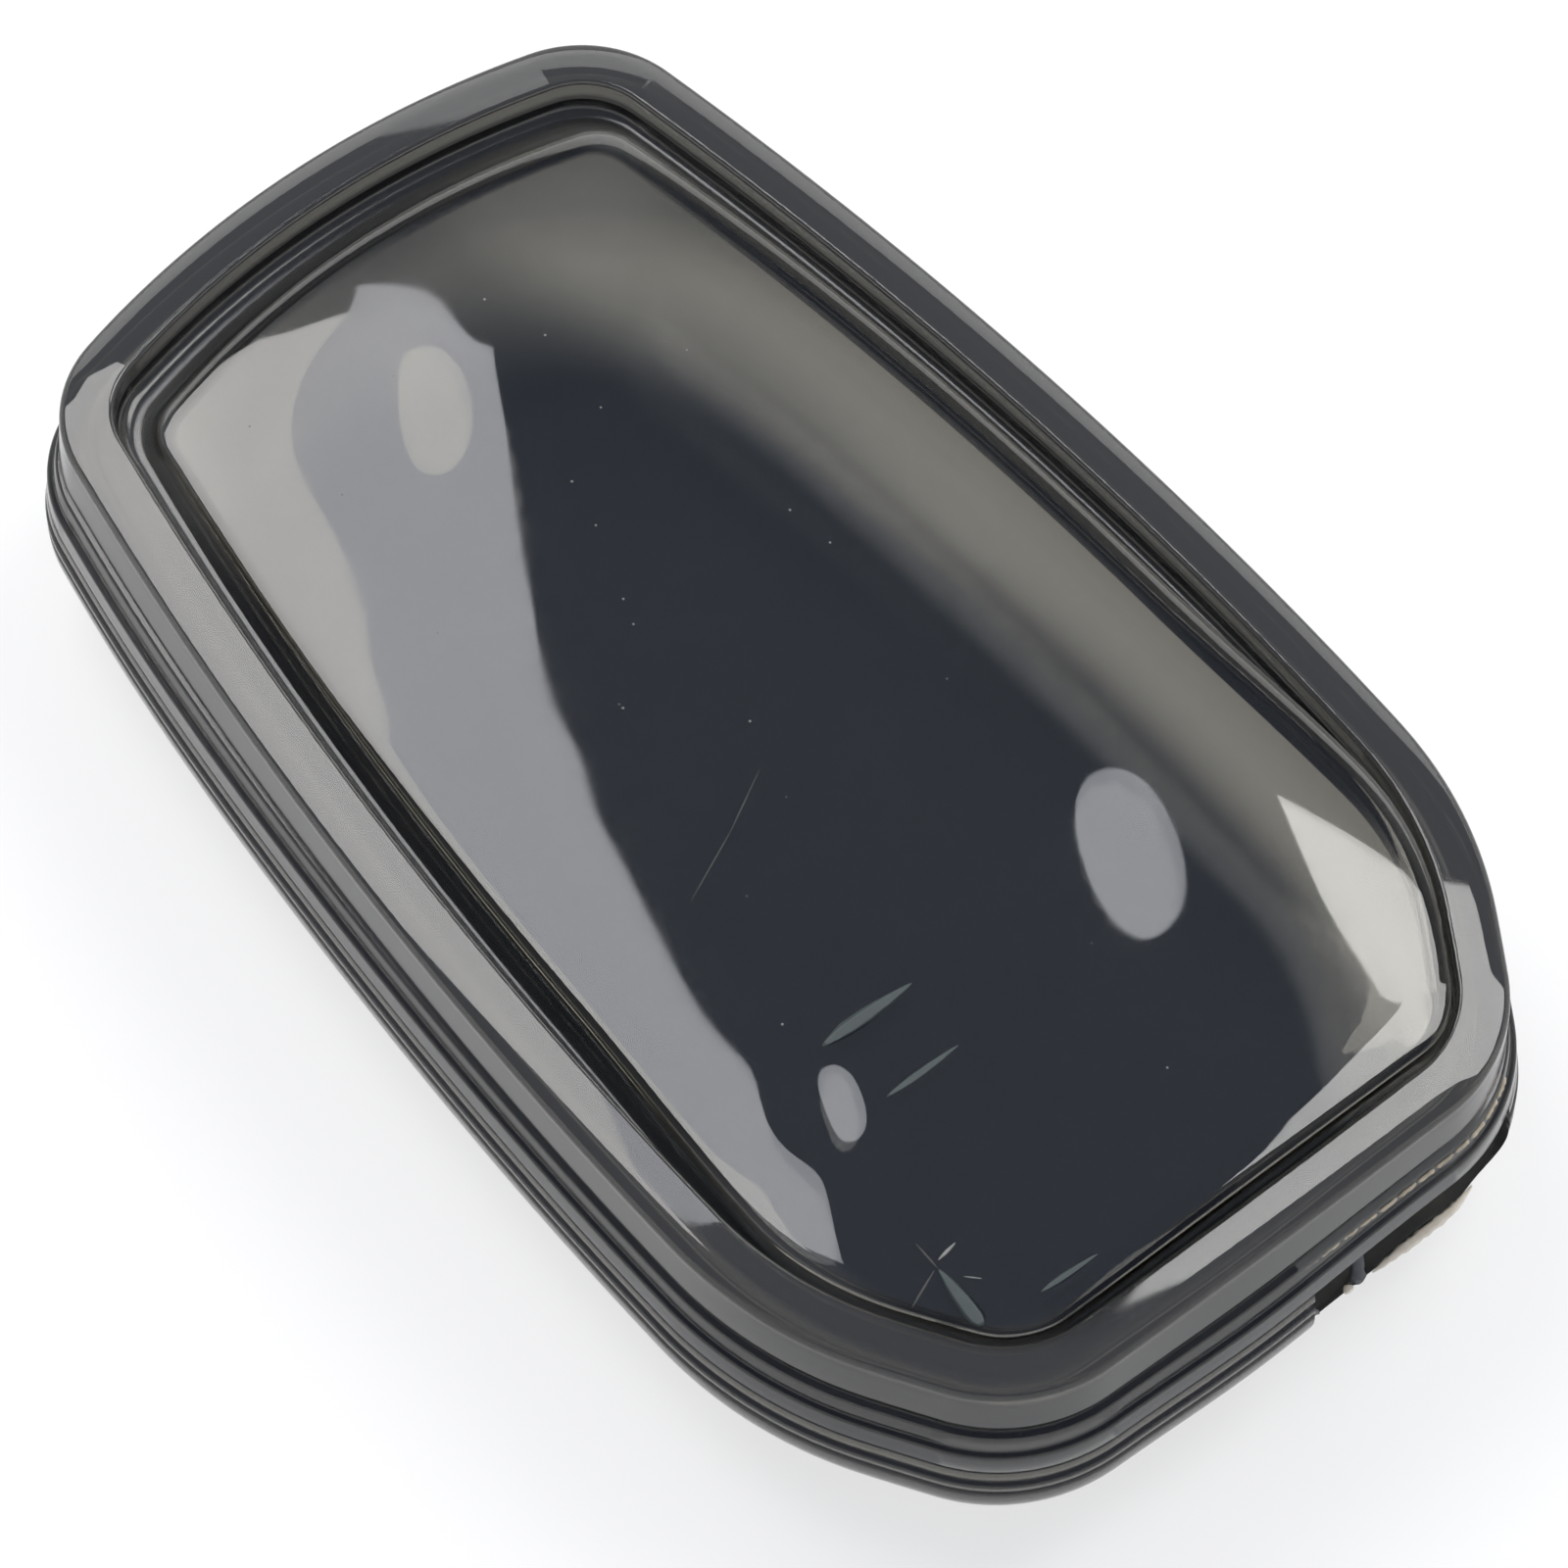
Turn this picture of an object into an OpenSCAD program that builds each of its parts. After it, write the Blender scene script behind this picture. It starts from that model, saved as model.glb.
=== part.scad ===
// Snap-together cover for a smart car key, moulded in smoke-black soft plastic.
// Two shells meet at a seam low on the side wall. The back shell's tongue stands inside the front shell.
// The origin is on the table under the middle. +Y is the wide end and -Y is the end with the ring slot.

/* [Cover] */
// Length from the wide end to the ring end
cover_len = 80; // [78:0.5:82]
// Width at the widest place
cover_wid = 48; // [47:0.5:49]
// Height of the raised rim above the table
rim_top = 15.5; // [15:0.1:17.5]

/* [Face] */
// How far the middle of the face stands above the rim
face_rise = 1.15; // [0.9:0.05:1.4]
// How far the face drops from its middle to its long edges
side_sag = 0.75; // [0.3:0.05:1]
// How far the face drops from its middle to its edge at the wide end
wide_sag = 1.3; // [0.8:0.1:1.6]
// Distance of the crease across the face from the middle, towards the ring end
crease_back = 22.5; // [20:0.5:25]
// Slope of the face beyond the crease, as its drop over its length
crease_slope = 0.055; // [0:0.005:0.07]

/* [Outline] */
// Radius of the long, bowed sides
side_bow_r = 255; // [220:5:300]
// Distance of the widest place from the middle, towards the ring end
widest_back = 13; // [11:0.5:15]
// Radius of the arched wide end
wide_end_r = 54; // [50:1:70]
// Radius of the corners at the wide end
wide_corner_r = 7.8; // [7.4:0.1:8.5]
// Radius of the nearly straight ring end
ring_end_r = 600; // [400:50:900]
// Radius of the corners at the ring end
ring_corner_r = 9.6; // [9:0.1:10.2]
// Radius of the nearly straight shoulders beside the ring end
shoulder_r = 150; // [120:10:200]
// Angle by which the shoulders turn in from the sides
shoulder_turn = 30.7; // [29:0.1:32]
// How far the middle of each shoulder stands in from the widest place
shoulder_in = 2.3; // [2.1:0.1:2.5]
// Distance of the middle of the shoulders from the ring end
shoulder_ahead = 9.6; // [9.4:0.1:9.8]
// Radius of the bend between each side and its shoulder
bend_r = 23; // [20:1:26]

/* [Walls] */
// Thickness of the side walls, without the ribs
wall_t = 1.4; // [1.3:0.05:1.6]
// Thickness of the face
face_t = 1.2; // [0.9:0.05:1.3]
// Thickness of the floor
floor_t = 1.2; // [1:0.05:1.5]
// Height of the seam between the two shells
seam_z = 8.35; // [8.3:0.05:8.7]
// Height at which the back starts to curve under
bowl_h = 5.95; // [5:0.05:6.4]
// How far the flat of the bottom is set in from the outline
bowl_in = 9.5; // [8:0.5:10]
// Height of the tongue above the seam
tongue_h = 1.9; // [1.2:0.1:2.1]

/* [Ring slot] */
// Distance of the slot's near edge from the centre line
slot_start = 1.5; // [1:0.1:3]
// Length of the slot along the ring end
slot_len = 14; // [10:0.5:15]
// Height of the slot's lower edge above the table
slot_low = 3.55; // [3.2:0.05:4]
// How far the slot is cut in from the outline, through wall and tongue
slot_deep = 7.5; // [7:0.1:8]

/* [Hidden] */

// Colour of the smoke-black soft plastic
smoke = [0.16, 0.16, 0.17];

// Fits
seam_gap = 0.05;
tongue_gap = 0.1;
tongue_end_gap = 0.15;
cut_past = 1;

// Turns, in degrees, at which a quarter round has its rings
quarter_turns = [22, 45, 68, 90];

// Rim, the raised bead round the face
rim_round_h = 1.3;
rim_round_wid = 1.9;
rim_crest_in = 2.84;
rim_inner_in = 3.1;
rim_edge = 0.2;
rim_wall_in = rim_inner_in + rim_edge;
rim_side_drop = 3.7;
rim_side_in = rim_crest_in - rim_round_wid;
rim_side_low = rim_top - rim_side_drop;

// Gutter between the rim and the face
gutter_deep = 1.9;
gutter_in = 5;
gutter_shift = -1;
gutter_fillet = 0.2;
gutter_z = rim_top - gutter_deep;

// Face, a plateau shifted towards the ring end
face_in = 5.9;
face_shift = -1.7;
face_half_wid = cover_wid / 2 - face_in;
face_wide_end = cover_len / 2 - face_in + face_shift;
sag_start = -5;
face_shares = [0.2, 0.4, 0.6, 0.75, 0.9];

// Ribs of the side wall, as insets from the outline and heights above the seam
groove_in = 1.15;
groove_up = 2.75;
groove_h = 0.6;
rib_up = 2.65;
rib_in = 0.75;
rib_low_up = 1.55;
rib_low_in = 0.62;
step_up = 1.4;
step_in = 0.3;
seam_in = 0.2;

// Back shell's side, as insets from the outline and distances below the seam
lip_down = 0.65;
lip_in = 0.1;
back_groove_in = 0.3;
back_groove_down = 0.75;
back_groove_h = 0.3;
back_side_down = 1.15;
bowl_turns = [90, 75, 60, 45, 30, 15, 0];

// Inside of the shells
tongue_t = 1.05;
inner_in = groove_in + wall_t;
tongue_in = inner_in - tongue_t;
seat_in = tongue_in - tongue_gap;
seat_z = seam_z + tongue_h + tongue_end_gap;
under_edge_drop = 0.8;
under_gutter_more = 0.9;
under_face_more = 1.1;
under_gutter_z = gutter_z - face_t;
under_gutter_in = gutter_in + under_gutter_more;
floor_set_in = 0.7;
floor_in = bowl_in + floor_set_in;

// Arc steps along each stretch of half the outline
ring_end_steps = 2;
ring_corner_steps = 5;
shoulder_steps = 2;
bend_steps = 3;
side_steps = 5;
wide_corner_steps = 5;
wide_end_steps = 3;

// Meeting point of two circles, on the side given by 1 or -1
function circles_meet(a, ra, b, rb, side) =
    let (
        gap = norm(b - a),
        dir = (b - a) / gap,
        along = (ra * ra - rb * rb + gap * gap) / (2 * gap),
        up = sqrt(ra * ra - along * along)
    )
    a + along * dir + side * up * [-dir.y, dir.x];

// Direction from one point to another, in degrees
function heading(from, to) = atan2(to.y - from.y, to.x - from.x);

// Points along an arc, without its first point
function arc(centre, r, start, end, steps) =
    [for (i = [1:steps]) let (t = start + (end - start) * i / steps) centre + r * [cos(t), sin(t)]];

// Centres of the arcs that make the right half of the outline
side_c = [cover_wid / 2 - side_bow_r, -widest_back];
wide_end_c = [0, cover_len / 2 - wide_end_r];
ring_end_c = [0, ring_end_r - cover_len / 2];
shoulder_dir = [cos(shoulder_turn), -sin(shoulder_turn)];
shoulder_mid = [cover_wid / 2 - shoulder_in, shoulder_ahead - cover_len / 2];
shoulder_c = shoulder_mid - shoulder_r * shoulder_dir;
wide_corner_c = circles_meet(side_c, side_bow_r - wide_corner_r, wide_end_c, wide_end_r - wide_corner_r, 1);
bend_c = circles_meet(side_c, side_bow_r - bend_r, shoulder_c, shoulder_r - bend_r, -1);
ring_corner_c = circles_meet(shoulder_c, shoulder_r - ring_corner_r, ring_end_c, ring_end_r - ring_corner_r, -1);

// Headings at which one arc hands over to the next
ring_end_turn = heading(ring_end_c, ring_corner_c);
corner_turn = heading(shoulder_c, ring_corner_c);
shoulder_end_turn = heading(shoulder_c, bend_c);
bend_turn = heading(side_c, bend_c);
side_turn = heading(side_c, wide_corner_c);
wide_turn = heading(wide_end_c, wide_corner_c);

// Right half of the outline, moved in by an inset, from the ring end's middle to the wide end's middle
function half_outline(inset) = concat(
    arc(ring_end_c, ring_end_r - inset, -90, ring_end_turn, ring_end_steps),
    arc(ring_corner_c, ring_corner_r - inset, ring_end_turn, corner_turn, ring_corner_steps),
    arc(shoulder_c, shoulder_r - inset, corner_turn, shoulder_end_turn, shoulder_steps),
    arc(bend_c, bend_r - inset, shoulder_end_turn, bend_turn, bend_steps),
    arc(side_c, side_bow_r - inset, bend_turn, side_turn, side_steps),
    arc(wide_corner_c, wide_corner_r - inset, side_turn, wide_turn, wide_corner_steps),
    arc(wide_end_c, wide_end_r - inset, wide_turn, 90, wide_end_steps)
);

// Whole outline, anticlockwise, moved in by an inset
function outline(inset) =
    let (
        right = half_outline(inset),
        last = len(right) - 1,
        left = [for (i = [last - 1:-1:0]) [-right[i].x, right[i].y]]
    )
    concat(right, left, [[0, inset - cover_len / 2]]);

// One ring of a shell: its height, inset and shift along Y
function ring(z, inset, shift = 0) = [for (p = outline(inset)) [p.x, p.y + shift, z]];

// One ring drawn in from an outline by a further amount, the same at the sides and the ends
function drawn_in(z, inset, more) =
    let (sx = 1 - more / (cover_wid / 2 - inset), sy = 1 - more / (cover_len / 2 - inset))
    [for (p = outline(inset)) [p.x * sx, p.y * sy, z]];

// Height of the outer face at a place
function face_z(x, y) =
    let (
        across = x / face_half_wid,
        along = max(0, (y - sag_start) / (face_wide_end - sag_start)),
        past_crease = max(0, -y - crease_back)
    )
    rim_top + face_rise - side_sag * pow(across, 2) - wide_sag * pow(along, 3) - crease_slope * past_crease;

// Ring of the face at a share of its full size, at a depth below the outer face, moved in by a further inset
function face_ring(share, depth, more = 0) =
    [for (p = outline(face_in + more))
        let (x = p.x * share, y = p.y * share + face_shift) [x, y, face_z(x, y) - depth]];

// Closed solid through a list of rings, from the middle of the top round to the middle of the inside
module skin(rings) {
    n = len(rings[0]);
    m = len(rings);
    points = [for (r = rings) each r];
    sides = [for (j = [0:m - 2]) for (i = [0:n - 1])
        [j * n + i, j * n + (i + 1) % n, (j + 1) * n + (i + 1) % n, (j + 1) * n + i]];
    first = [for (i = [n - 1:-1:0]) i];
    last = [for (i = [0:n - 1]) (m - 1) * n + i];
    polyhedron(points = points, faces = concat([first], sides, [last]), convexity = 8);
}

// Rings of the face, top or underside, at a depth below the outer face
function face_rings(depth) = [for (share = face_shares) face_ring(share, depth)];

// Rings of the rim's outer side, a quarter of an ellipse from the crest down to the upright side
function rim_rings() =
    [for (t = quarter_turns)
        ring(rim_top - rim_round_h * (1 - cos(t)), rim_crest_in - rim_round_wid * sin(t))];

// Rings of a bowl's side, from its flat bottom up to its upright wall
function bowl_rings(bottom_z, bottom_in, wall_z, wall_in) =
    [for (t = bowl_turns) let (in = (bottom_in - wall_in) * (1 - cos(t)))
        drawn_in(wall_z - (wall_z - bottom_z) * sin(t), wall_in + in / 2, in / 2)];

// Rings in reverse order
function reversed(rings) = [for (i = [len(rings) - 1:-1:0]) rings[i]];

// Front shell: face, gutter, rim and the ribbed upper part of the side wall
module front_shell() {
    outside = concat(
        face_rings(0),
        [
            face_ring(1, 0),
            ring(gutter_z, gutter_in, gutter_shift),
            ring(gutter_z, rim_wall_in + gutter_fillet),
            ring(gutter_z + gutter_fillet, rim_wall_in),
            ring(rim_top - rim_edge, rim_wall_in),
            ring(rim_top, rim_inner_in),
            ring(rim_top, rim_crest_in)
        ],
        rim_rings(),
        [
            ring(rim_side_low, rim_side_in),
            ring(seam_z + groove_up + groove_h, groove_in),
            ring(seam_z + groove_up, groove_in),
            ring(seam_z + rib_up, rib_in),
            ring(seam_z + rib_low_up, rib_low_in),
            ring(seam_z + step_up, step_in),
            ring(seam_z + seam_gap, seam_in)
        ]
    );
    inside = concat(
        [
            ring(seam_z + seam_gap, seat_in),
            ring(seat_z, seat_in),
            ring(seat_z, inner_in),
            ring(under_gutter_z - under_edge_drop, inner_in),
            ring(under_gutter_z, inner_in + under_edge_drop),
            ring(under_gutter_z, under_gutter_in, gutter_shift),
            face_ring(1, face_t, under_face_more)
        ],
        reversed(face_rings(face_t))
    );
    color(smoke)
        skin(concat(outside, inside));
}

// Back shell: floor, lower part of the side wall, tongue, and the slot for the key ring
module back_shell() {
    bottom = bowl_rings(0, bowl_in, bowl_h, 0);
    side = [
        ring(seam_z - back_side_down, 0),
        ring(seam_z - back_groove_down - back_groove_h, back_groove_in),
        ring(seam_z - back_groove_down, back_groove_in),
        ring(seam_z - lip_down, lip_in),
        ring(seam_z, seam_in)
    ];
    tongue = [
        ring(seam_z, tongue_in),
        ring(seam_z + tongue_h, tongue_in),
        ring(seam_z + tongue_h, inner_in)
    ];
    inside = reversed(bowl_rings(floor_t, floor_in, bowl_h, inner_in));
    color(smoke)
        difference() {
            skin(reversed(concat(bottom, side, tongue, inside)));
            ring_slot();
        }
}

// Space cut out of the back shell for the key ring, down to the slot's lower edge
module ring_slot() {
    end_y = -cover_len / 2;
    translate([slot_start, end_y - cut_past, slot_low])
        cube([slot_len, slot_deep + cut_past, seam_z + tongue_h - slot_low + cut_past]);
}

front_shell();
back_shell();
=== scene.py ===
import math

import bmesh
import bpy
import numpy as np
from mathutils import Matrix, Vector


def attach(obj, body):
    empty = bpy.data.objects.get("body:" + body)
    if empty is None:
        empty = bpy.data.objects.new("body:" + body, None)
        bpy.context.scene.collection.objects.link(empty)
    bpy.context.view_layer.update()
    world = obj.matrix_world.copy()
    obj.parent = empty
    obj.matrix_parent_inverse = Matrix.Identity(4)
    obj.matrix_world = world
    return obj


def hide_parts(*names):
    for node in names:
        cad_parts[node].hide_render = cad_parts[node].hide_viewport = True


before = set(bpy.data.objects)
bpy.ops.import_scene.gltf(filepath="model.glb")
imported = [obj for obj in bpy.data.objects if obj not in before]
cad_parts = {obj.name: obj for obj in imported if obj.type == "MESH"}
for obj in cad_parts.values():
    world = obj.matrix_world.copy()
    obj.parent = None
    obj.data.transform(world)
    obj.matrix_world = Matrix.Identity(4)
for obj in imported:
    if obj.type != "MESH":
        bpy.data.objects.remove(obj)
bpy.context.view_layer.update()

# Sizes are in millimetres. Those that the part's source has too carry its names, and a few of them differ
# from it by less than a millimetre. An inset is measured from the outline.
MM = 0.001

# Outline and height
COVER_LEN = 80.0
COVER_WID = 48.0
RIM_TOP = 15.5
SIDE_BOW_R = 255.0
WIDEST_BACK = 13.0
WIDE_END_R = 54.0
WIDE_CORNER_R = 7.8
RING_END_R = 600.0
RING_CORNER_R = 9.6
SHOULDER_R = 150.0
SHOULDER_TURN = 30.7
SHOULDER_IN = 2.3
SHOULDER_AHEAD = 9.6
BEND_R = 23.0

# Crown of the face, its edge and its bent margin
FACE_RISE = 1.15
SIDE_SAG = 0.95
WIDE_SAG = 1.3
CROWN_HALF_WID = 18.1
CROWN_START = -5.0
CROWN_END = 32.4
FACE_T = 1.2
FACE_IN = 5.2
FACE_SHIFT = -1.35
MARGIN = 0.7
MARGIN_BEND = 0.25
MARGIN_EDGE = 0.3

# The face gets a little wider towards the ring end, from a place behind the middle and over a length
WIDEN_SHARE = 0.042
WIDEN_BACK = 8
WIDEN_LEN = 20

# The last of the face slopes down at the ring end
END_BACK = 34.7
END_TURN = 0.05
END_SLOPE = 0.12
END_ROUND = 0.5

# Rim and gutter
RIM_SIDE_IN = 0.94
RIM_BEVEL_IN = 1.95
RIM_BEVEL_DROP = 0.24
RIM_BEVEL_FOOT = 0.06
RIM_WALL_IN = 3.7
RIM_WALL_LEAN = 0.05
RIM_SHIFT = -0.15
RIM_LEAN = 0.15
GUTTER_Z = 13.5
GUTTER_IN = 4.9
GUTTER_SHIFT = -1.0
UNDER_GUTTER_Z = 12.2
UNDER_GUTTER_MORE = 0.9
UNDER_FACE_MORE = 1.0
UNDER_EDGE = 0.4

# Ribs of the front shell's side, from the rim down to the seam
RIM_SIDE_LOW = 11.8
GROOVE_HIGH = 11.7
GROOVE_LOW = 11.1
GROOVE_IN = 1.15
RIB_Z = 11.0
RIB_IN = 0.75
RIB_LOW_Z = 9.9
RIB_LOW_IN = 0.62
STEP_Z = 9.78
STEP_IN = 0.3
FRONT_SEAM_Z = 8.4
SEAM_IN = 0.2

# Grooves of the back shell's side. Each starts, reaches its full depth, leaves it and ends at these heights.
LOW_GROOVE_Z = (6.3, 6.4, 6.6, 6.7)
LOW_GROOVE_IN = 0.16
BACK_GROOVE_Z = (7.15, 7.3, 7.6, 7.75)
BACK_GROOVE_IN = 0.3
LIP_IN = 0.1

# Inside of the shells, and the back that curves under
SEAM_Z = 8.35
TONGUE_H = 1.9
TONGUE_IN = 1.5
INNER_IN = 2.55
SEAT_IN = 1.4
SEAT_Z = 10.4
BOWL_H = 5.95
BOWL_IN = 9.5
FLOOR_T = 1.2
FLOOR_SET_IN = 0.7

# How far each rounding reaches along the two faces that meet in it
EDGE_ROUND = 0.28
GUTTER_ROUND = 0.9
BEVEL_ROUND = 0.2
RIM_ROUND = 0.36
RIB_ROUND = 0.14
STEP_ROUND = 0.16
GROOVE_ROUND = 0.06
SEAM_ROUND = 0.08
UNDER_EDGE_ROUND = 0.3
UNDER_FACE_ROUND = 0.6
LOW_GROOVE_ROUND = 0.05
BACK_EDGE_ROUND = 0.1
TONGUE_ROUND = 0.12

# Ring slot
SLOT_START = 1.5
SLOT_LEN = 14.0
SLOT_LOW = 3.45
SLOT_DEEP = 7.5
SLOT_ROUND = 0.7
SLOT_ROUND_END = 2.8
CUT_PAST = 2

# Painted shade in the middle of the back, a dark tint that stands for the table's shadow under the cover,
# and the clear face of the front, as bowed ovals
MIDDLE_HALF_WID = 18.5
MIDDLE_HALF_LEN = 33.5
MIDDLE_Y = -2.5
MIDDLE_BOW_R = 120.0
FACE_HALF_WID = 18.8
FACE_HALF_LEN = 34.8
FACE_Y = -1.25


# The outline of the cover

def circles_meet(a, ra, b, rb, side):
    """Meeting point of two circles, on the side given by 1 or -1."""
    gap = np.linalg.norm(b - a)
    step = (b - a) / gap
    along = (ra * ra - rb * rb + gap * gap) / (2 * gap)
    up = math.sqrt(ra * ra - along * along)
    return a + along * step + side * up * np.array([-step[1], step[0]])


def heading(a, b):
    """Direction from one point to another, in degrees."""
    return math.degrees(math.atan2(b[1] - a[1], b[0] - a[0]))


def half_arcs():
    """Arcs from the ring end's middle to the wide end's: (centre, radius, first and last heading, steps)."""
    side = np.array([COVER_WID / 2 - SIDE_BOW_R, -WIDEST_BACK])
    wide = np.array([0, COVER_LEN / 2 - WIDE_END_R])
    ring = np.array([0, RING_END_R - COVER_LEN / 2])
    turn = math.radians(SHOULDER_TURN)
    middle = np.array([COVER_WID / 2 - SHOULDER_IN, SHOULDER_AHEAD - COVER_LEN / 2])
    shoulder = middle - SHOULDER_R * np.array([math.cos(turn), -math.sin(turn)])
    wide_corner = circles_meet(side, SIDE_BOW_R - WIDE_CORNER_R, wide, WIDE_END_R - WIDE_CORNER_R, 1)
    bend = circles_meet(side, SIDE_BOW_R - BEND_R, shoulder, SHOULDER_R - BEND_R, -1)
    corner = circles_meet(shoulder, SHOULDER_R - RING_CORNER_R, ring, RING_END_R - RING_CORNER_R, -1)
    t = [-90, heading(ring, corner), heading(shoulder, corner), heading(shoulder, bend),
         heading(side, bend), heading(side, wide_corner), heading(wide, wide_corner), 90]
    return [
        (ring, RING_END_R, t[0], t[1], 16),
        (corner, RING_CORNER_R, t[1], t[2], 24),
        (shoulder, SHOULDER_R, t[2], t[3], 7),
        (bend, BEND_R, t[3], t[4], 22),
        (side, SIDE_BOW_R, t[4], t[5], 74),
        (wide_corner, WIDE_CORNER_R, t[5], t[6], 26),
        (wide, WIDE_END_R, t[6], t[7], 21),
    ]


ARCS = half_arcs()


def outline(inset):
    """Points of the whole outline moved in by an inset, anticlockwise from beside the ring end's middle."""
    right = []
    for centre, r, start, end, steps in ARCS:
        for i in range(1, steps + 1):
            a = math.radians(start + (end - start) * i / steps)
            right.append((centre[0] + (r - inset) * math.cos(a), centre[1] + (r - inset) * math.sin(a)))
    left = [(-x, y) for x, y in right[-2::-1]]
    return np.array(right + left + [(0, inset - COVER_LEN / 2)])


def ring(z, inset, shift=0.0):
    """The outline at a height, moved in by an inset and along by a shift."""
    p = outline(inset)
    return np.column_stack([p[:, 0], p[:, 1] + shift, np.broadcast_to(z, len(p))])


def drawn_in(z, inset, more):
    """The outline at a height, moved in by an inset and then scaled in by more."""
    p = outline(inset)
    sx = 1 - more / (COVER_WID / 2 - inset)
    sy = 1 - more / (COVER_LEN / 2 - inset)
    return np.column_stack([p[:, 0] * sx, p[:, 1] * sy, np.full(len(p), z)])


# The face

# Slight waves of the soft face: how tight each one is, its direction and its start
WAVE_COUNT = 16
WAVE_H = 0.0006
WAVES = np.random.RandomState(11)
WAVE = [
    (WAVES.uniform(0.25, 1.3), WAVES.uniform(0, math.pi), WAVES.uniform(0, 6.28))
    for _ in range(WAVE_COUNT)
]

# The soft face isn't quite even. Each round tilt bends one reflection: its middle in x and y, the way that
# it rises in degrees from +X, its reach and its slope. The numbers are rounded from a search for the
# reflections in the photo, with one reach each in place of two lengths. The notch's x and slope were then
# changed.
LEFT_GLINT = (-12, -21, 0, 1.5, 0.15)
RIGHT_GLINT = (8, -19, -10, 7, 0.2)
LEFT_SHEEN_END = (-12, -28, -30, 5, -0.12)
WIDE_END_NOTCH = (-3, 22, -20, 3, 0.08)
TILTS = [LEFT_GLINT, RIGHT_GLINT, LEFT_SHEEN_END, WIDE_END_NOTCH]


def soft_step(v, width):
    """A ramp max(0, v) with its corner rounded over a width."""
    return 0.5 * (v + np.sqrt(v * v + width * width)) - 0.5 * width * np.exp(-(v / width) ** 2)


def face_z(x, y):
    """Height of the face: a crown, the slope at the ring end, tilts and waves."""
    across = x / CROWN_HALF_WID
    along = np.maximum(0, (y - CROWN_START) / (CROWN_END - CROWN_START))
    z = RIM_TOP + FACE_RISE - SIDE_SAG * across ** 2 - WIDE_SAG * along ** 3
    z = z - END_SLOPE * soft_step(END_TURN * x - y - END_BACK, END_ROUND)
    wave = sum(np.sin(k * (x * math.cos(a) + y * math.sin(a)) + f) / (k * k) for k, a, f in WAVE)
    for cx, cy, turn, reach, slope in TILTS:
        a = math.radians(turn)
        rise = (x - cx) * math.cos(a) + (y - cy) * math.sin(a)
        z = z + slope * rise * np.exp(-0.5 * ((x - cx) ** 2 + (y - cy) ** 2) / reach ** 2)
    return z + WAVE_H * wave


def face_outline(inset, shift):
    """The outline moved in, and made a little wider towards the ring end."""
    p = outline(inset)
    x, y = p[:, 0], p[:, 1] + shift
    t = np.clip((-y - WIDEN_BACK) / WIDEN_LEN, 0, 1)
    return x * (1 + WIDEN_SHARE * t * t * (3 - 2 * t)), y


def margin_ring(inside, depth, more=0.0):
    """Ring of the face that lies inside its edge by a distance, where the margin bends down."""
    x, y = face_outline(FACE_IN + inside + more, FACE_SHIFT)
    bend = MARGIN_BEND * max(0, MARGIN - inside) ** 2
    return np.column_stack([x, y, face_z(x, y) - bend - depth])


def gutter_foot(z, more=0.0):
    """Ring where the face's outer wall meets a level in the gutter."""
    x, y = face_outline(GUTTER_IN + more, GUTTER_SHIFT)
    return np.column_stack([x, y, np.full(len(x), z)])


def face_ring(share, depth):
    """Ring of the face at a share of its size."""
    x, y = face_outline(FACE_IN + MARGIN, 0)
    x, y = x * share, y * share + FACE_SHIFT
    return np.column_stack([x, y, face_z(x, y) - depth])


# Slight swells of the soft sides: middle in x and y, reach along x and along y, and size
CORNER_SWELL = (-22, 29, 10, 17, 0.4)
SLOT_SWELL = (-2, -40, 6, 6, 0.25)

# The swells fade out above the sides and towards the table, each at a height and over a distance
SWELL_TOP = 14.5
SWELL_TOP_FADE = 5
SWELL_FOOT = 1
SWELL_FOOT_FADE = 4


def warped(rings):
    """Rings with the slight swell that the soft sides have at the near wide corner and beside the slot."""
    half_wid, half_len = COVER_WID / 2, COVER_LEN / 2
    out = []
    for r in rings:
        x, y, z = r.T
        under_top = np.clip((SWELL_TOP - z) / SWELL_TOP_FADE, 0, 1)
        over_foot = np.clip((z - SWELL_FOOT) / SWELL_FOOT_FADE, 0, 1)
        low = under_top * over_foot
        low = low * low * (3 - 2 * low)
        swell = sum(
            size * np.exp(-((x - cx) / wide) ** 2 - ((y - cy) / long) ** 2)
            for cx, cy, wide, long, size in (CORNER_SWELL, SLOT_SWELL)
        )
        radius = np.hypot(x / half_wid, y / half_len) + 1e-9
        grow = swell * low
        out.append(np.column_stack([
            x + grow * x / half_wid / radius,
            y + grow * y / half_len / radius,
            z,
        ]))
    return out


# Meshes swept from rings

# A rounding takes at most this share of a side, and is never flatter than this weight allows
MOST_OF_SIDE_SHARE = 0.48
LEAST_WEIGHT = 0.05


def rounded(corners):
    """Rings through corners, each (ring, reach of its rounding, steps), with the corners rounded."""
    out = []
    for i, (b, length, steps) in enumerate(corners):
        if i == 0 or i == len(corners) - 1 or steps == 0:
            out.append(b)
            continue
        a, c = corners[i - 1][0], corners[i + 1][0]
        ab, cb = a - b, c - b
        la = np.linalg.norm(ab, axis=1, keepdims=True)
        lc = np.linalg.norm(cb, axis=1, keepdims=True)
        p = b + ab / la * np.minimum(length, MOST_OF_SIDE_SHARE * la)
        q = b + cb / lc * np.minimum(length, MOST_OF_SIDE_SHARE * lc)
        turn = np.sum(-ab * cb, axis=1, keepdims=True) / (la * lc)
        weight = np.sqrt(np.clip((1 + turn) / 2, LEAST_WEIGHT, 1))
        for k in range(steps + 1):
            u = k / steps
            a_part, b_part, c_part = (1 - u) ** 2, 2 * weight * u * (1 - u), u * u
            out.append((a_part * p + b_part * b + c_part * q) / (a_part + b_part + c_part))
    return out


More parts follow.
